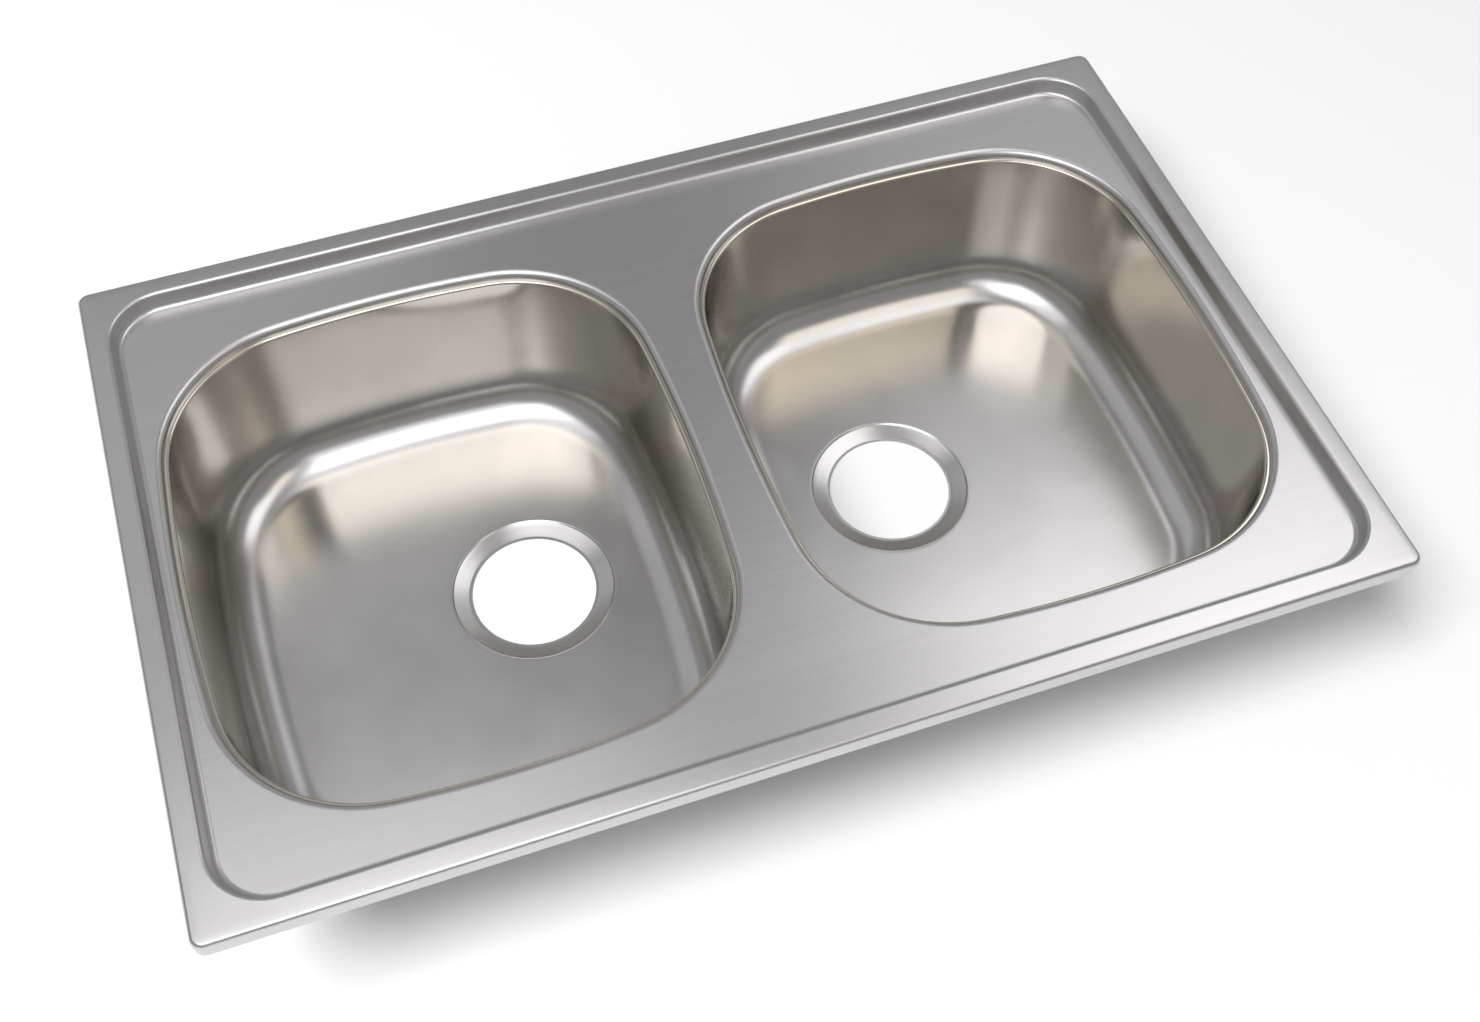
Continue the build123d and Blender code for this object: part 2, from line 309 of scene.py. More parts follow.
# each sheet steel's roughness stays on one side of 0.275, because a denoised picture shows thin
# marks where it crosses that
deckFinish = {
    "dark": "c9c7c9", "light": "cecccd", "roughness": (0.285, 0.325), "cloudShare": 0.8, "bumpMm": 0.2,
    "patterns": {
        "streak": {"mm": (380.0, 2.6, 2.6), "detail": 1.0},
        "cloud": {"mm": (160.0, 90.0, 90.0), "detail": 2.0},
        "wave": {"mm": (150.0, 110.0, 110.0), "detail": 0.0},
    },
}


def makeDeckSteel():
    # austenitic stainless sheet, belt ground along its length and then pressed: cool grey, soft
    # reflections, faint streaks and the slow waves of pressed sheet; real grinding lines are too
    # fine to show, so the streaks are drawn 2.6 mm wide
    look = deckFinish
    material, tree, place = startFinish("SatinStainlessSheet")
    laid = layPatterns(tree, place, look["patterns"])
    tint = addNode(tree, "ShaderNodeMapRange", {"Value": laid["streak"], **noiseSpan})
    color = addNode(tree, "ShaderNodeMix", {
        "Factor": tint.outputs["Result"], "A": linearColor(look["dark"]),
        "B": linearColor(look["light"])}, data_type="RGBA")
    mixed = addNode(tree, "ShaderNodeMix", {
        "Factor": look["cloudShare"], "A": laid["streak"], "B": laid["cloud"]}, data_type="FLOAT")
    rough = addNode(tree, "ShaderNodeMapRange", {
        "Value": mixed.outputs["Result"], **noiseSpan,
        "To Min": look["roughness"][0], "To Max": look["roughness"][1]})
    waves = addNode(tree, "ShaderNodeBump", {
        "Height": laid["wave"], "Strength": 1.0, "Distance": look["bumpMm"] * mm})
    shader = addNode(tree, "ShaderNodeBsdfPrincipled", {
        "Metallic": 1.0, "Base Color": color.outputs["Result"], "Roughness": rough.outputs["Result"],
        "Normal": waves.outputs["Normal"]})
    addNode(tree, "ShaderNodeOutputMaterial", {"Surface": shader.outputs["BSDF"]})
    return material


bowlFinishAndWallSheen = {
    "wallDark": "cbc6bb", "wallLight": "d8d3c8", "floorDark": "c4c2c2", "floorLight": "cfcdcd",
    "wallRoughness": (0.11, 0.15), "floorRoughness": (0.235, 0.265),
    # above these heights the colour becomes the walls' painted lighter, warmer sheen, and the roughness
    # the walls' own
    "floorTo": (14.0, 58.0),  # heights between which the floor's finish becomes the wall's
    "bumpMm": 0.22,
    "patterns": {
        "cloud": {"mm": (60.0, 60.0, 90.0), "detail": 2.0},
        "wave": {"mm": (75.0, 75.0, 110.0), "detail": 0.0},
    },
}


def makeBowlSteel():
    # the same steel deep drawn: the walls burnished by the die and slightly rippled, so that they
    # mirror each other; their lighter, warmer colour is a painted warm reflection; the floor keeps the
    # soft satin of the sheet
    look = bowlFinishAndWallSheen
    material, tree, place = startFinish("DrawnStainlessSteel")
    laid = layPatterns(tree, place, look["patterns"])
    tint = addNode(tree, "ShaderNodeMapRange", {"Value": laid["cloud"], **noiseSpan})
    colors = {}
    roughs = {}
    for zone in ("floor", "wall"):
        colors[zone] = addNode(tree, "ShaderNodeMix", {
            "Factor": tint.outputs["Result"], "A": linearColor(look[zone + "Dark"]),
            "B": linearColor(look[zone + "Light"])}, data_type="RGBA")
        smooth, coarse = look[zone + "Roughness"]
        roughs[zone] = addNode(tree, "ShaderNodeMapRange", {
            "Value": laid["cloud"], **noiseSpan, "To Min": smooth, "To Max": coarse})
    height = addNode(tree, "ShaderNodeSeparateXYZ", {"Vector": place})
    low, high = look["floorTo"]
    up = addNode(tree, "ShaderNodeMapRange", {
        "Value": height.outputs["Z"], "From Min": low * mm, "From Max": high * mm},
        interpolation_type="SMOOTHSTEP")
    # painted warm reflection: above the floor the colour turns to the walls' lighter, warmer one
    color = addNode(tree, "ShaderNodeMix", {
        "Factor": up.outputs["Result"], "A": colors["floor"].outputs["Result"],
        "B": colors["wall"].outputs["Result"]}, data_type="RGBA")
    rough = addNode(tree, "ShaderNodeMix", {
        "Factor": up.outputs["Result"], "A": roughs["floor"].outputs["Result"],
        "B": roughs["wall"].outputs["Result"]}, data_type="FLOAT")
    waves = addNode(tree, "ShaderNodeBump", {
        "Height": laid["wave"], "Strength": 1.0, "Distance": look["bumpMm"] * mm})
    shader = addNode(tree, "ShaderNodeBsdfPrincipled", {
        "Metallic": 1.0, "Base Color": color.outputs["Result"], "Roughness": rough.outputs["Result"],
        "Normal": waves.outputs["Normal"]})
    addNode(tree, "ShaderNodeOutputMaterial", {"Surface": shader.outputs["BSDF"]})
    return material


stripFinish = {
    "dark": "a9a9a8", "light": "bdbdbb", "roughness": (0.34, 0.46), "cloudShare": 0.5, "bumpMm": 0.006,
    "patterns": {
        "lines": {"mm": (1.4, 60.0, 60.0), "detail": 3.0},
        "cloud": {"mm": (14.0, 14.0, 14.0), "detail": 3.0},
    },
}


def makeStripSteel():
    # cold rolled stainless strip, bent and left as it came from the mill: dull and faintly lined,
    # with its rolling lines drawn coarser than real ones so that they show
    look = stripFinish
    material, tree, place = startFinish("MillStainlessStrip")
    laid = layPatterns(tree, place, look["patterns"])
    tint = addNode(tree, "ShaderNodeMapRange", {"Value": laid["cloud"], **noiseSpan})
    color = addNode(tree, "ShaderNodeMix", {
        "Factor": tint.outputs["Result"], "A": linearColor(look["dark"]),
        "B": linearColor(look["light"])}, data_type="RGBA")
    mixed = addNode(tree, "ShaderNodeMix", {
        "Factor": look["cloudShare"], "A": laid["lines"], "B": laid["cloud"]}, data_type="FLOAT")
    rough = addNode(tree, "ShaderNodeMapRange", {
        "Value": mixed.outputs["Result"], **noiseSpan,
        "To Min": look["roughness"][0], "To Max": look["roughness"][1]})
    lines = addNode(tree, "ShaderNodeBump", {
        "Height": laid["lines"], "Strength": 1.0, "Distance": look["bumpMm"] * mm})
    shader = addNode(tree, "ShaderNodeBsdfPrincipled", {
        "Metallic": 1.0, "Base Color": color.outputs["Result"], "Roughness": rough.outputs["Result"],
        "Normal": lines.outputs["Normal"]})
    addNode(tree, "ShaderNodeOutputMaterial", {"Surface": shader.outputs["BSDF"]})
    return material


zincFinish = {
    "dark": "b3b7bd", "light": "cccfd3", "roughness": (0.26, 0.4), "spangleMm": 1.1, "bumpMm": 0.01,
    "patterns": {"patch": {"mm": (9.0, 9.0, 9.0), "detail": 4.0}},
}


def makeZinc():
    # bright zinc plating with a clear blue passivation: bluish grey and patchy, with fine
    # crystals that are drawn about 1 mm wide so that they show
    look = zincFinish
    material, tree, place = startFinish("ZincPlatedSteel")
    laid = layPatterns(tree, place, look["patterns"])
    tint = addNode(tree, "ShaderNodeMapRange", {"Value": laid["patch"], **noiseSpan})
    color = addNode(tree, "ShaderNodeMix", {
        "Factor": tint.outputs["Result"], "A": linearColor(look["dark"]),
        "B": linearColor(look["light"])}, data_type="RGBA")
    rough = addNode(tree, "ShaderNodeMapRange", {
        "Value": laid["patch"], **noiseSpan,
        "To Min": look["roughness"][0], "To Max": look["roughness"][1]})
    crystals = addNode(tree, "ShaderNodeTexVoronoi", {
        "Vector": place, "Scale": 1 / (look["spangleMm"] * mm)})
    relief = addNode(tree, "ShaderNodeBump", {
        "Height": crystals.outputs["Distance"], "Strength": 1.0, "Distance": look["bumpMm"] * mm})
    shader = addNode(tree, "ShaderNodeBsdfPrincipled", {
        "Metallic": 1.0, "Base Color": color.outputs["Result"], "Roughness": rough.outputs["Result"],
        "Normal": relief.outputs["Normal"]})
    addNode(tree, "ShaderNodeOutputMaterial", {"Surface": shader.outputs["BSDF"]})
    return material


padFinish = {
    "dark": "232426", "light": "37383a", "roughness": (0.7, 0.9), "cloudShare": 0.4, "bumpMm": 0.08,
    "ior": 1.52,
    "patterns": {
        "grain": {"mm": (0.9, 0.9, 0.9), "detail": 3.0, "roughness": 0.7},
        "cloud": {"mm": (30.0, 30.0, 30.0), "detail": 2.0},
    },
}


def makeDampingRubber():
    # filled bitumen rubber, hot stamped: near black, matt, with a mineral grain
    look = padFinish
    material, tree, place = startFinish("BitumenDampingRubber")
    laid = layPatterns(tree, place, look["patterns"])
    mixed = addNode(tree, "ShaderNodeMix", {
        "Factor": look["cloudShare"], "A": laid["grain"], "B": laid["cloud"]}, data_type="FLOAT")
    tint = addNode(tree, "ShaderNodeMapRange", {"Value": mixed.outputs["Result"], **noiseSpan})
    color = addNode(tree, "ShaderNodeMix", {
        "Factor": tint.outputs["Result"], "A": linearColor(look["dark"]),
        "B": linearColor(look["light"])}, data_type="RGBA")
    rough = addNode(tree, "ShaderNodeMapRange", {
        "Value": laid["grain"], **noiseSpan,
        "To Min": look["roughness"][0], "To Max": look["roughness"][1]})
    grain = addNode(tree, "ShaderNodeBump", {
        "Height": laid["grain"], "Strength": 1.0, "Distance": look["bumpMm"] * mm})
    shader = addNode(tree, "ShaderNodeBsdfPrincipled", {
        "IOR": look["ior"], "Base Color": color.outputs["Result"],
        "Roughness": rough.outputs["Result"], "Normal": grain.outputs["Normal"]})
    addNode(tree, "ShaderNodeOutputMaterial", {"Surface": shader.outputs["BSDF"]})
    return material


foamFinish = {
    "dark": "3c3d3f", "light": "56575a", "roughness": 0.92, "ior": 1.5, "cloudShare": 0.5,
    "poreMm": 0.8, "poreShadeSpan": (0.2, 0.6), "bumpMm": 0.15,
    "patterns": {"cloud": {"mm": (12.0, 12.0, 12.0), "detail": 2.0}},
}


def makeFoam():
    # closed cell polyethylene foam, slit from a sheet: dark grey, open pores on the cut faces, their
    # pits painted darker as painted shade
    look = foamFinish
    material, tree, place = startFinish("ClosedCellFoam")
    laid = layPatterns(tree, place, look["patterns"])
    pores = addNode(tree, "ShaderNodeTexVoronoi", {
        "Vector": place, "Scale": 1 / (look["poreMm"] * mm)}, feature="F1")
    mixed = addNode(tree, "ShaderNodeMix", {
        "Factor": look["cloudShare"], "A": pores.outputs["Distance"], "B": laid["cloud"]},
        data_type="FLOAT")
    # painted shade in the pores' pits, mixed with a random cloudy tone
    tint = addNode(tree, "ShaderNodeMapRange", {
        "Value": mixed.outputs["Result"], "From Min": look["poreShadeSpan"][0],
        "From Max": look["poreShadeSpan"][1]})
    color = addNode(tree, "ShaderNodeMix", {
        "Factor": tint.outputs["Result"], "A": linearColor(look["dark"]),
        "B": linearColor(look["light"])}, data_type="RGBA")
    relief = addNode(tree, "ShaderNodeBump", {
        "Height": pores.outputs["Distance"], "Strength": 1.0, "Distance": look["bumpMm"] * mm})
    shader = addNode(tree, "ShaderNodeBsdfPrincipled", {
        "IOR": look["ior"], "Roughness": look["roughness"], "Base Color": color.outputs["Result"],
        "Normal": relief.outputs["Normal"]})
    addNode(tree, "ShaderNodeOutputMaterial", {"Surface": shader.outputs["BSDF"]})
    return material


def dress(material, names):
    for name in names:
        mesh = nodes[name].data
        mesh.materials.clear()
        mesh.materials.append(material)


deckSteel = makeDeckSteel()
bowlSteel = makeBowlSteel()
stripSteel = makeStripSteel()
zinc = makeZinc()
dampingRubber = makeDampingRubber()
foam = makeFoam()
dress(stripSteel, [name for name in nodes if name.startswith("bracket")])
dress(zinc, [name for name in nodes if name.startswith(("claw", "ring", "weld"))])
print("finishes made")

# the outline of an opening: four long arcs joined by four corner arcs, about the bowl's centre
opening = {
    "flange": 5.0, "sideArc": 1200.0, "endArc": 800.0, "cornerArc": 102.0,
    "sideSteps": 8, "cornerSteps": 24, "endSteps": 6,
}
bowlLow, bowlHigh = boxOf("left_bowl")
bowlCentre = (bowlLow + bowlHigh) / 2
openingX = (bowlHigh.x - bowlLow.x) / 2 - opening["flange"]
openingY = (bowlHigh.y - bowlLow.y) / 2 - opening["flange"]


def openingArcs():
    # centres of the side, corner and end arcs, and the two angles at which they meet
    side = Vector((openingX - opening["sideArc"], 0.0))
    end = Vector((0.0, openingY - opening["endArc"]))
    toSide = opening["sideArc"] - opening["cornerArc"]
    toEnd = opening["endArc"] - opening["cornerArc"]
    gap = (end - side).length
    along = (toSide ** 2 - toEnd ** 2 + gap ** 2) / (2 * gap)
    across = sqrt(toSide ** 2 - along ** 2)
    way = (end - side) / gap
    corner = side + way * along + Vector((-way.y, way.x)) * across
    cornerStart = atan2(corner.y - side.y, corner.x - side.x)
    cornerStop = atan2(corner.y - end.y, corner.x - end.x)
    return side, corner, end, cornerStart, cornerStop


def sweepOpening(piece):
    side, corner, end, cornerStart, cornerStop = openingArcs()
    turnEdges(side, cornerStart, opening["sideSteps"])
    turnEdges(corner, cornerStop - cornerStart, opening["cornerSteps"])
    turnEdges(end, pi / 2 - cornerStop, opening["endSteps"])
    mirrorQuarter(piece)


deck = {
    "sheet": 0.8, "rimHeight": 13.0, "cornerRadius": 8.0, "edgeBend": 3.0,
    "rimLand": 14.0, "landFall": 3.2,
    "stepDepth": 12.0, "stepDraft": 18.0, "stepTopBend": 3.0, "stepFootBend": 4.0, "stepCorner": 38.0,
    "lipBend": 5.0, "lipDepth": 6.0, "flatEdge": 0.5, "straightSteps": 8, "cornerSteps": 14,
    # the land's outer part stops this short of its corners' centres, and is bridged over the gap
    "splitBack": 2.0, "splitGap": 1.0,
}
deckHigh = boxOf("deck_panel")[1]
rimTop = deckHigh.z
deckTop = rimTop - deck["stepDepth"]
stepTurn = radians(90.0 - deck["stepDraft"])
stepTopInset = deck["rimLand"] + deck["stepTopBend"] * tan(stepTurn / 2)
stepFootInset = stepTopInset + deck["stepDepth"] * tan(radians(deck["stepDraft"]))
flatInset = stepFootInset + deck["stepFootBend"] * tan(stepTurn / 2) + deck["flatEdge"]
# the land falls outwards, so its line is drawn a little above the rim's top where it meets the
# step's, and the bend between the two crests at the rim's top
fall = radians(deck["landFall"])
landCrest = rimTop + deck["stepTopBend"] * (tan((stepTurn + fall) / 2) * sin(fall) + cos(fall) - 1)
landEdge = landCrest - stepTopInset * tan(fall)


def sweepRim(piece, cornerX, cornerY):
    # a quarter of the way round, past a corner arc centred there, and then the whole
    pushEdges(0.0, cornerY, deck["straightSteps"])
    turnEdges((cornerX, cornerY), pi / 2, deck["cornerSteps"])
    pushEdges(-cornerX, 0.0, deck["straightSteps"])
    mirrorQuarter(piece)


def makeRimAndStep():
    # the rim's outside and the step are two loops, each swept round corners of its own
    halfX, halfY = deckHigh.xy
    split = deck["cornerRadius"] - deck["splitBack"]
    outside = drawProfile("deck_shell", [
        (halfX, rimTop - deck["rimHeight"], 0), (halfX, landEdge, deck["edgeBend"]),
        (halfX - split, landEdge + split * tan(fall), 0)])
    sweepRim(outside, halfX - deck["cornerRadius"], halfY - deck["cornerRadius"])
    start = split + deck["splitGap"]
    inside = drawProfile("deck_step", [
        (halfX - start, landEdge + start * tan(fall), 0),
        (halfX - stepTopInset, landCrest, deck["stepTopBend"]),
        (halfX - stepFootInset, deckTop, deck["stepFootBend"]), (halfX - flatInset, deckTop, 0)])
    stepCorner = stepTopInset + deck["stepCorner"]
    sweepRim(inside, halfX - stepCorner, halfY - stepCorner)
    return [outside, inside]


def makeLips():
    # the rolled edge of each opening
    lips = []
    for side in (1, -1):
        lip = drawProfile("deck_lip", [
            (openingX + deck["lipBend"] + deck["flatEdge"], deckTop, 0),
            (openingX, deckTop, deck["lipBend"]), (openingX, deckTop - deck["lipDepth"], 0)])
        sweepOpening(lip)
        movePoints(lip, side * bowlCentre.x, bowlCentre.y)
        lips.append(lip)
    return lips


def makeDeck():
    shell = joinPieces(makeRimAndStep() + makeLips())
    # bridge the land between the two bends, then fill the flat around the openings
    halfway = (rimTop + deckTop) / 2
    pickOpenEdges(shell, lambda place: place.z > halfway)
    bpy.ops.mesh.bridge_edge_loops()
    pickOpenEdges(shell, lambda place: abs(place.z - deckTop) < levelReach)
    bpy.ops.mesh.fill(use_beauty=True)
    thicken(shell, deck["sheet"])
    finishPiece(shell, "deck_panel", "sink", deckSteel)


bowl = {
    "sheet": 0.8, "ledge": 3.0, "edgeBend": 2.0, "draft": 2.7, "floorBend": 32.0,
    "drainX": 50.5, "drainY": 9.0, "holeRadius": 45.0, "recessRadius": 59.0, "recessDepth": 4.3,
    "lipWidth": 1.2, "lipDepth": 1.2, "lipBend": 0.7, "seat": 2.0, "seatBend": 2.0,
    "floorFall": 0.3, "floorRows": 7,
    "floorEdge": 2.5,  # flat drawn at the bend's foot and round the recess; a bridge joins the two
}
bowlFloor = bowlLow.z + bowl["sheet"] + bowl["recessDepth"]


def makeBowlSides():
    wallTop = openingX - bowl["ledge"]
    wallFoot = wallTop - (bowlHigh.z - bowlFloor) * tan(radians(bowl["draft"]))
    bendEdge = wallFoot - bowl["floorBend"] * tan(radians(90.0 - bowl["draft"]) / 2)
    sides = drawProfile("left_bowl_shell", [
        (openingX + opening["flange"], bowlHigh.z, 0), (wallTop, bowlHigh.z, bowl["edgeBend"]),
        (wallFoot, bowlFloor, bowl["floorBend"]), (bendEdge - bowl["floorEdge"], bowlFloor, 0)],
        bendStep=4.5)
    sweepOpening(sides)
    return sides


def makeDrain():
    # the pressed recess round the hole, turned in as many steps as the sides have
    edge = bowl["recessRadius"]
    edgeZ = bowlFloor - bowl["floorFall"]
    seatZ = bowlFloor - bowl["recessDepth"]
    drain = drawProfile("left_drain", [
        (edge + bowl["floorEdge"], edgeZ, 0), (edge, edgeZ, bowl["lipBend"]),
        (edge - bowl["lipWidth"], bowlFloor - bowl["lipDepth"], bowl["lipBend"]),
        (bowl["holeRadius"] + bowl["seat"], seatZ, bowl["seatBend"]),
        (bowl["holeRadius"], seatZ, 0)], bendStep=9.0, runStep=4.0)
    bpy.ops.transform.translate(value=(bowl["drainX"] * mm, bowl["drainY"] * mm, 0.0))
    around = 4 * (opening["sideSteps"] + opening["cornerSteps"] + opening["endSteps"])
    turnEdges((bowl["drainX"], bowl["drainY"]), 2 * pi, around)
    weldPoints(weldReach)
    return drain


def makeLeftBowl():
    shell = joinPieces([makeBowlSides(), makeDrain()])
    # bridge the floor from the bend to the recess
    drainMiddle = Vector((bowl["drainX"], bowl["drainY"]))
    halfway = (bowlLow.z + bowlHigh.z) / 2
    inRecess = (bowl["holeRadius"] + bowl["recessRadius"]) / 2
    pickOpenEdges(shell, lambda place: (
        place.z < halfway and (place.xy - drainMiddle).length > inRecess))
    bpy.ops.mesh.bridge_edge_loops(number_cuts=bowl["floorRows"], interpolation="LINEAR")
    movePoints(shell, bowlCentre.x, bowlCentre.y)
    return shell


def makeBowls():
    left = makeLeftBowl()
    right = copyPiece(left, "right_bowl_shell")
    openPiece(right)
    bpy.ops.mesh.select_all(action="SELECT")
    bpy.ops.transform.mirror(orient_type="GLOBAL", constraint_axis=(True, False, False),
                             center_override=(0.0, 0.0, 0.0))
    for shell, node in ((left, "left_bowl"), (right, "right_bowl")):
        thicken(shell, bowl["sheet"])
        finishPiece(shell, node, "sink", bowlSteel)


# the foam strip under the rim: its sides bulge, and its lower edges are rounder than its upper ones
strip = {
    "gap": 0.15, "width": 7.0, "outerCorner": 8.0, "sideBulge": 0.7, "sideBend": 6.0,
    "lowEdge": 1.2, "topEdge": 0.5,
}


def makeStrip():
    low, high = boxOf("rim_seal")
    inner = high.x - strip["width"]
    centre = high.x - strip["width"] / 2
    outerFlat = high.x - strip["sideBulge"]
    innerFlat = inner + strip["sideBulge"]
    topZ = landEdge - deck["sheet"] - strip["gap"]
    middle = (low.z + topZ) / 2
    piece = drawProfile("seal_strip", [
        (centre, low.z, 0), (outerFlat, low.z, strip["lowEdge"]), (high.x, middle, strip["sideBend"]),
        (outerFlat, topZ, strip["topEdge"]), (innerFlat, topZ, strip["topEdge"]),
        (inner, middle, strip["sideBend"]), (innerFlat, low.z, strip["lowEdge"]),
        (centre, low.z, 0)], bendStep=15.0, runStep=4.0)
    sweepRim(piece, high.x - strip["outerCorner"], high.y - strip["outerCorner"])
    faceOut(piece)
    finishPiece(piece, "rim_seal", "sink", foam, smoothTo=50.0)


# damping pads, stamped with a pattern of square cells
pad = {"cell": 10.0, "groove": 1.0, "emboss": 0.6, "corner": 14.0, "cornerSteps": 12}


def makePad(side):
    node = side + "_sound_pad"
    low, high = boxOf(node)
    size = high - low
    sheet = startBlock(side + "_pad_sheet", low + Vector((0.0, 0.0, pad["emboss"])), high)
    for axis, way in enumerate((Vector((1.0, 0.0, 0.0)), Vector((0.0, 1.0, 0.0)))):
        cells = round(size[axis] / pad["cell"])
        for count in range(1, cells):
            cut = low[axis] + size[axis] * count / cells
            bpy.ops.mesh.select_all(action="SELECT")
            bpy.ops.mesh.bisect(plane_co=way * cut * mm, plane_no=way)
    pickFaces(sheet, looksDown)
    bpy.ops.mesh.inset(thickness=pad["groove"] * mm, depth=pad["emboss"] * mm, use_individual=True)
    # the rounded outline that the sheet is stamped to, taller than the sheet all round
    spare = Vector((0.0, 0.0, size.z))
    outline = startBlock(side + "_pad_outline", low - spare, high + spare)
    bpy.ops.mesh.select_mode(type="EDGE")
    bpy.ops.mesh.select_all(action="DESELECT")
    bpy.ops.object.mode_set(mode="OBJECT")
    points = outline.data.vertices
    for edge in outline.data.edges:
        first, second = (points[index].co for index in edge.vertices)
        edge.select = abs(first.z - second.z) > size.z * mm
    bpy.ops.object.mode_set(mode="EDIT")
    bpy.ops.mesh.bevel(offset=pad["corner"] * mm, segments=pad["cornerSteps"])
    applyModifier(sheet, "BOOLEAN", operation="INTERSECT", object=outline, solver="EXACT")
    bpy.data.objects.remove(outline)
    finishPiece(sheet, node, "sink", dampingRubber, smoothTo=20.0)


# clamping screws: hexagon head with a flange, plain shank, rolled thread, turned point
screw = {
    "radius": 2.5, "root": 2.05, "pitch": 0.8, "shank": 4.6, "shankEdge": 0.3, "around": 18,
    "pointLength": 0.7, "pointRadius": 1.7, "pointStart": 0.1, "coreTurns": 1.5,
    "flangeRadius": 5.0, "flange": 1.0, "flangeLowEdge": 0.25, "flangeTopEdge": 0.35,
    "head": 3.5, "flats": 8.0, "headEdge": 0.45, "land": 0.9, "dish": 0.6, "dishSlope": 0.35,
}
screwLow, screwHigh = boxOf("screw_front_left")
flangeLow = screwLow.z + screw["head"]
shankLow = flangeLow + screw["flange"]
threadLow = shankLow + screw["shank"]
threadTop = screwHigh.z - screw["pointLength"]
screwAxis = (0.0, 0.0)


def makeShank():
    wide = screw["flangeRadius"]
    narrow = screw["radius"]
    shank = drawProfile("screw_shank", [
        (0.0, flangeLow, 0), (wide, flangeLow, screw["flangeLowEdge"]),
        (wide, shankLow, screw["flangeTopEdge"]), (narrow, shankLow, screw["shankEdge"]),
        (narrow, threadLow, screw["shankEdge"]), (0.0, threadLow, 0)], bendStep=30.0, runStep=3.0)
    turnEdges(screwAxis, 2 * pi, 2 * screw["around"])
    weldPoints(weldReach)
    return shank


def makeThread():
    # a V of one pitch wound up the axis, with its two ends closed
    turns = int((threadTop - threadLow) / screw["pitch"]) - 1
    start = threadTop - (turns + 1) * screw["pitch"]
    thread = startLine("screw_thread", screw["radius"], start)
    depth = screw["radius"] - screw["root"]
    for x in (-depth, depth):
        bpy.ops.mesh.extrude_vertices_move(
            TRANSFORM_OT_translate={"value": (x * mm, 0.0, screw["pitch"] / 2 * mm)})
    applyModifier(thread, "SCREW", axis="Z", angle=2 * pi, screw_offset=screw["pitch"] * mm,
                  iterations=turns, steps=screw["around"], render_steps=screw["around"],
                  use_merge_vertices=True, merge_threshold=fineReach * mm)
    openPiece(thread)
    weldPoints(fineReach)
    halfway = (start + threadTop) / 2
    for lowEnd in (True, False):
        pickOpenEdges(thread, lambda place: (place.z < halfway) == lowEnd)
        bpy.ops.mesh.edge_face_add()
    return thread


def makePoint():
    # its foot is inside the thread's last turns
    start = threadTop - screw["coreTurns"] * screw["pitch"]
    point = drawProfile("screw_point", [
        (0.0, start, 0), (screw["root"], start, 0), (screw["root"], threadTop + screw["pointStart"], 0),
        (screw["pointRadius"], screwHigh.z, 0), (0.0, screwHigh.z, 0)], runStep=3.0)
    turnEdges(screwAxis, 2 * pi, screw["around"])
    weldPoints(weldReach)
    return point


def makeHead():
    # bevelled round its foot and dished
    selectOnly(None)
    bpy.ops.mesh.primitive_cylinder_add(
        vertices=6, radius=screw["flats"] / sqrt(3) * mm, depth=screw["head"] * mm,
        location=(0.0, 0.0, (screwLow.z + screw["head"] / 2) * mm))
    head = bpy.context.object
    bpy.ops.object.transform_apply(location=True)
    pickFaces(head, looksDown)
    bpy.ops.mesh.bevel(offset=screw["headEdge"] * mm, segments=2, affect="EDGES")
    pickFaces(head, looksDown)
    bpy.ops.mesh.inset(thickness=screw["land"] * mm)
    bpy.ops.mesh.inset(thickness=screw["dishSlope"] * mm, depth=-screw["dish"] * mm)
    return head


def makeScrews():
    # one screw is modelled at the origin, and each clamp gets a copy
    parts = [makeShank(), makeThread(), makePoint(), makeHead()]
    for part in parts:
        faceOut(part)
    pattern = joinPieces(parts)
    for node in sorted(name for name in nodes if name.startswith("screw_")):
        low, high = boxOf(node)
        station = node.removeprefix("screw_")
        copy = copyPiece(pattern, "threaded_screw_" + station)
        movePoints(copy, (low.x + high.x) / 2, (low.y + high.y) / 2)
        finishPiece(copy, node, "clamp_screw_" + station, zinc, smoothTo=32.0)
    bpy.data.objects.remove(pattern)


makeDeck()
print("deck pressed")
makeBowls()
print("bowls drawn")
makeStrip()
makePad("left")
makePad("right")
print("strip and pads laid")
makeScrews()
print("screws threaded")

floorLook = {"color": "e9e9ea", "glow": 0.03, "size": 12.0}  # size in metres


def makeFloor():
    selectOnly(None)
    bpy.ops.mesh.primitive_plane_add(size=floorLook["size"], location=(0, 0, 0))
    floor = bpy.context.object
    floor.name = "studio_floor"
    material = bpy.data.materials.new("PaintedStudioFloor")
    tree = clearTree(material)
    # matt white paint; the glow lifts it to white for the camera and in mirrors alone
    paint = addNode(tree, "ShaderNodeBsdfDiffuse", {"Color": linearColor(floorLook["color"])})
    path = addNode(tree, "ShaderNodeLightPath")
    seen = addNode(tree, "ShaderNodeMath", {
        0: path.outputs["Is Camera Ray"], 1: path.outputs["Is Glossy Ray"]}, operation="ADD")
    seenAny = addNode(tree, "ShaderNodeMath", {
        0: seen.outputs["Value"], 1: path.outputs["Is Transmission Ray"]},
        operation="ADD", use_clamp=True)
    strength = addNode(tree, "ShaderNodeMath", {
        0: seenAny.outputs["Value"], 1: floorLook["glow"]}, operation="MULTIPLY")
    glow = addNode(tree, "ShaderNodeEmission", {"Strength": strength.outputs["Value"]})
    both = addNode(tree, "ShaderNodeAddShader", {
        0: paint.outputs["BSDF"], 1: glow.outputs["Emission"]})
    addNode(tree, "ShaderNodeOutputMaterial", {"Surface": both.outputs["Shader"]})
    floor.data.materials.append(material)


# how bright the room looks from level (0) to straight up (1)
roomStops = ((0.0, 0.40), (0.18, 0.48), (0.45, 0.34), (0.75, 0.27), (1.0, 0.28))


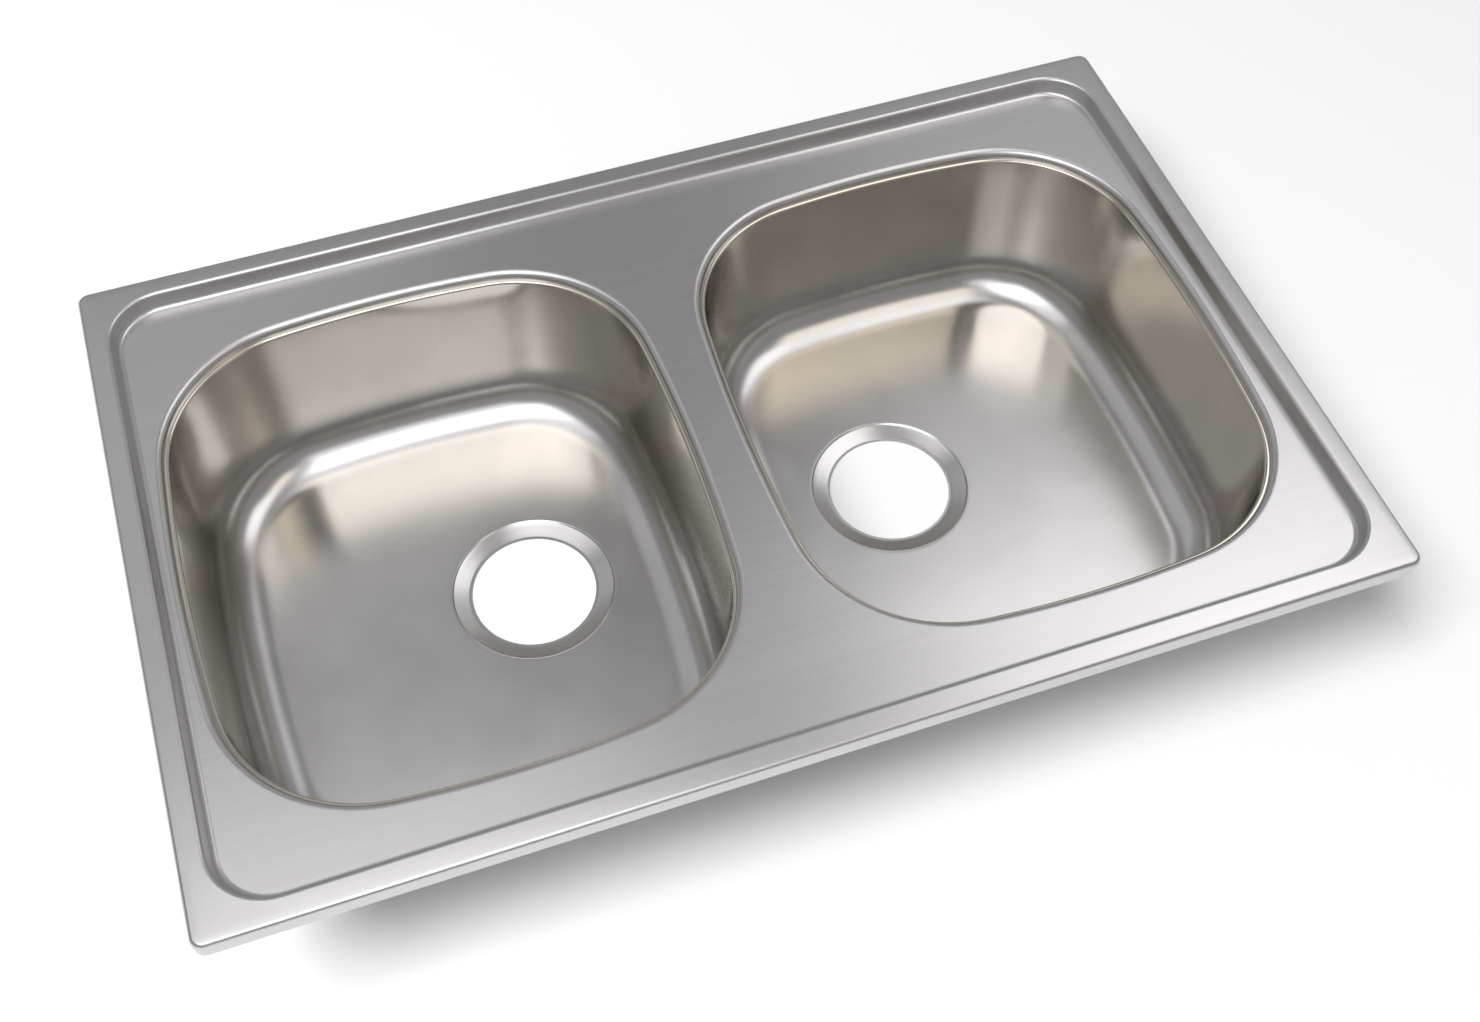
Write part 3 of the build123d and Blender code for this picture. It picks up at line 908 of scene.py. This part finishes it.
def makeWorld():
    world = bpy.data.worlds.new("StudioRoom")
    scene.world = world
    tree = clearTree(world)
    place = addNode(tree, "ShaderNodeTexCoord")
    axes = addNode(tree, "ShaderNodeSeparateXYZ", {"Vector": place.outputs["Generated"]})
    ramp = addNode(tree, "ShaderNodeValToRGB", {"Fac": axes.outputs["Z"]})
    stops = ramp.color_ramp.elements
    while len(stops) < len(roomStops):
        stops.new(1.0)
    for stop, (height, grey) in zip(stops, roomStops):
        stop.position = height
        stop.color = (grey, grey, grey, 1.0)
    background = addNode(tree, "ShaderNodeBackground", {
        "Color": ramp.outputs["Color"], "Strength": 1.0})
    addNode(tree, "ShaderNodeOutputWorld", {"Surface": background.outputs["Background"]})


# place, aim, width and height in metres, and how bright each face looks; the boxes show in the
# metal, and the key lights what is matt and casts the shadow
softboxes = {
    "leftOverhead": {"place": (-0.65, -0.75, 2.0), "size": (1.4, 1.5), "glow": 2.7},
    "leftBack": {"place": (-0.70, 0.42, 2.0), "size": (1.5, 0.80), "glow": 1.0},
    "rightOverhead": {"place": (1.28, 0.40, 2.0), "size": (1.35, 1.3), "glow": 1.6},
    "rightFront": {"place": (0.85, -0.75, 2.0), "size": (0.6, 0.95), "glow": 1.6, "color": "fff6e4"},
    "frontWash": {"place": (-0.08, -1.95, 2.0), "size": (1.05, 0.9), "glow": 1.05},
    "backWash": {"place": (-0.95, 1.72, 2.0), "size": (1.9, 1.04), "glow": 0.34},
    "backRight": {"place": (1.30, 1.72, 2.0), "size": (0.9, 1.04), "glow": 0.42},
    "key": {"place": (-2.35, -1.2, 4.9), "aim": (0.0, 0.0, 0.1), "size": (2.3, 2.3), "glow": 21.0,
            "lightsMatt": True},
}


def addSoftbox(name, box):
    width, height = box["size"]
    lamp = bpy.data.lights.new(name, "AREA")
    lamp.shape = "RECTANGLE"
    lamp.size = width
    lamp.size_y = height
    lamp.energy = box["glow"] * width * height * pi  # the power at which the face looks that bright
    lamp.color = linearColor(box.get("color", "ffffff"))[:3]
    softbox = bpy.data.objects.new(name, lamp)
    bpy.context.collection.objects.link(softbox)
    softbox.location = box["place"]
    if "aim" in box:
        way = Vector(box["aim"]) - Vector(box["place"])
        softbox.rotation_euler = way.to_track_quat("-Z", "Y").to_euler()
    softbox.visible_camera = False
    softbox.visible_glossy = not box.get("lightsMatt", False)
    softbox.visible_diffuse = box.get("lightsMatt", False)


makeFloor()
makeWorld()
for name, box in softboxes.items():
    addSoftbox(name, box)
print("studio lit")

# camera, at the photograph's viewing angle; place, aim and nearest distance in metres
view = {
    "place": (-0.21656, -0.65336, 1.06879), "aim": (-0.00916, -0.07328, 0.1533),
    "roll": 0.6214, "lens": 41.71, "sensor": 36.0, "nearest": 0.01,
}


def makeCamera():
    data = bpy.data.cameras.new("camera")
    data.lens = view["lens"]
    data.sensor_width = view["sensor"]
    data.sensor_fit = "HORIZONTAL"
    data.clip_start = view["nearest"]
    camera = bpy.data.objects.new("camera", data)
    bpy.context.collection.objects.link(camera)
    camera.location = view["place"]
    level = (Vector(view["aim"]) - Vector(view["place"])).to_track_quat("-Z", "Y")
    camera.rotation_mode = "QUATERNION"
    camera.rotation_quaternion = level @ Quaternion((0, 0, 1), radians(view["roll"]))
    scene.camera = camera


makeCamera()
print("camera set")
